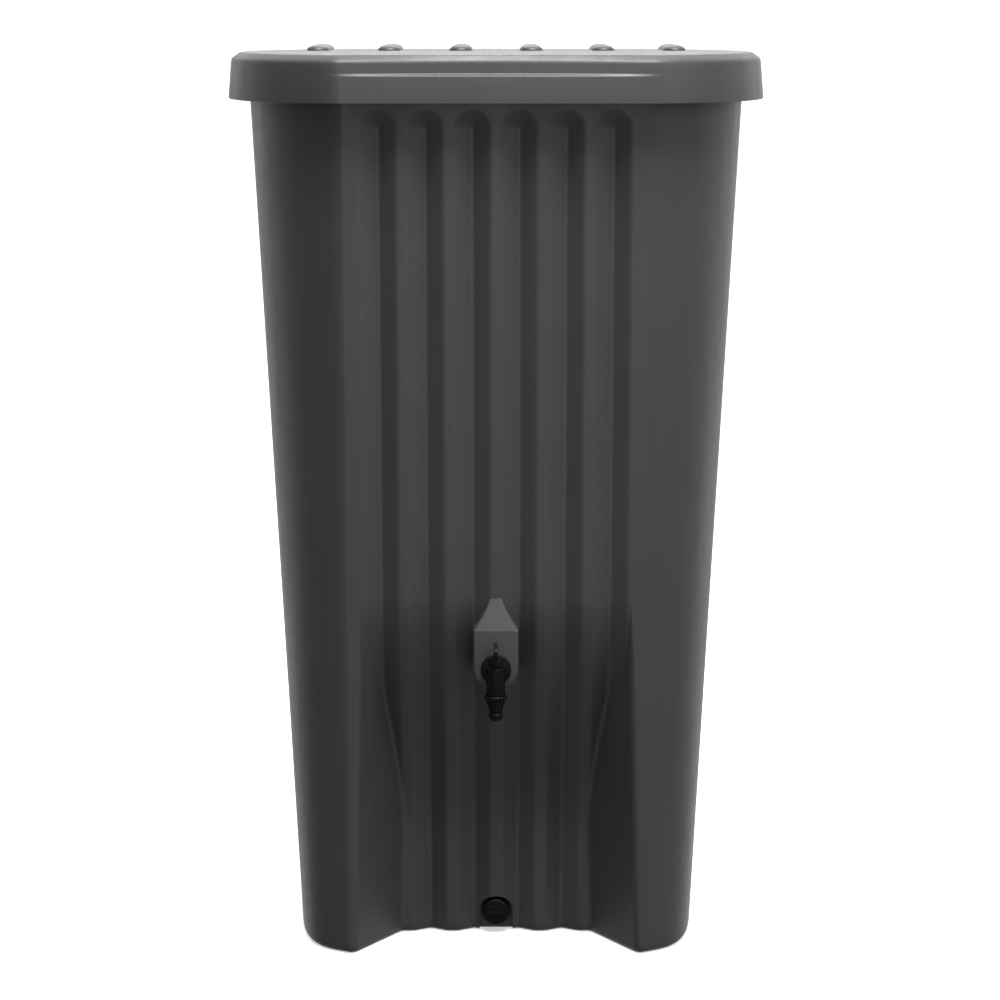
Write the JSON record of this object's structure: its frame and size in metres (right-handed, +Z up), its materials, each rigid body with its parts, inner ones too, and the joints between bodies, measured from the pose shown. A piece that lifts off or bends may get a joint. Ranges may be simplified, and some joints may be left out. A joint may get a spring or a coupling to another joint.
{
  "type": "rain barrel",
  "caption": "Tapered flat-backed rain barrel with rounded corners, fluted front between two legs, lift-off ribbed lid, quarter-turn tap with hose nozzle and a screwed drain outlet.",
  "frame": {"origin": "on the ground, under the middle of the tank's plan (the tap is not counted)", "axes": "+Z up; -Y towards the tap side; X across the front"},
  "size_m": [0.5994, 0.4877, 1.0047],
  "materials": {
    "shell": "fine moulded grain, slight sheen",
    "lid": "fine moulded grain, slight sheen",
    "fittings": "moulded, satin black",
    "seals": "dull black"
  },
  "bodies": {
    "tank": {"tank": "shell", "tap_body": "fittings", "tap_outer_washer": "seals", "tap_inner_washer": "seals", "tap_lock_nut": "fittings", "tap_bonnet": "fittings", "nozzle_washer": "seals", "nozzle_nut": "fittings", "hose_nozzle": "fittings", "drain_socket": "fittings", "drain_outer_washer": "seals", "drain_inner_washer": "seals", "drain_lock_nut": "fittings"},
    "lid": {"lid": "lid"},
    "tap_lever": {"tap_lever": "fittings", "tap_plug": "fittings", "plug_upper_o_ring": "seals", "plug_lower_o_ring": "seals"},
    "drain_gasket": {"drain_cap_gasket": "seals"},
    "drain_cap": {"drain_cap": "fittings"}
  },
  "joints": [
    {"name": "lid_lift", "type": "slide", "parent": "tank", "child": "lid", "axis": [0, 0, 1], "range_m": [0, 0.08]},
    {"name": "tap_lever_turn", "type": "hinge", "parent": "tank", "child": "tap_lever", "pos_m": [0, -0.235, 0.3345], "axis": [0, 0, 1], "range_deg": [0, 90]},
    {"name": "drain_cap_travel", "type": "slide", "parent": "tank", "child": "drain_gasket", "axis": [0, -1, 0], "range_m": [0, 0.0101]},
    {"name": "drain_cap_turn", "type": "hinge", "parent": "drain_gasket", "child": "drain_cap", "pos_m": [0, -0.076, 0.0245], "axis": [0, -1, 0], "range_deg": [0, 1440]}
  ],
  "couplings": [
    {"joint": "drain_cap_travel", "follows": "drain_cap_turn", "m_per_rad": 0.00039789}
  ]
}
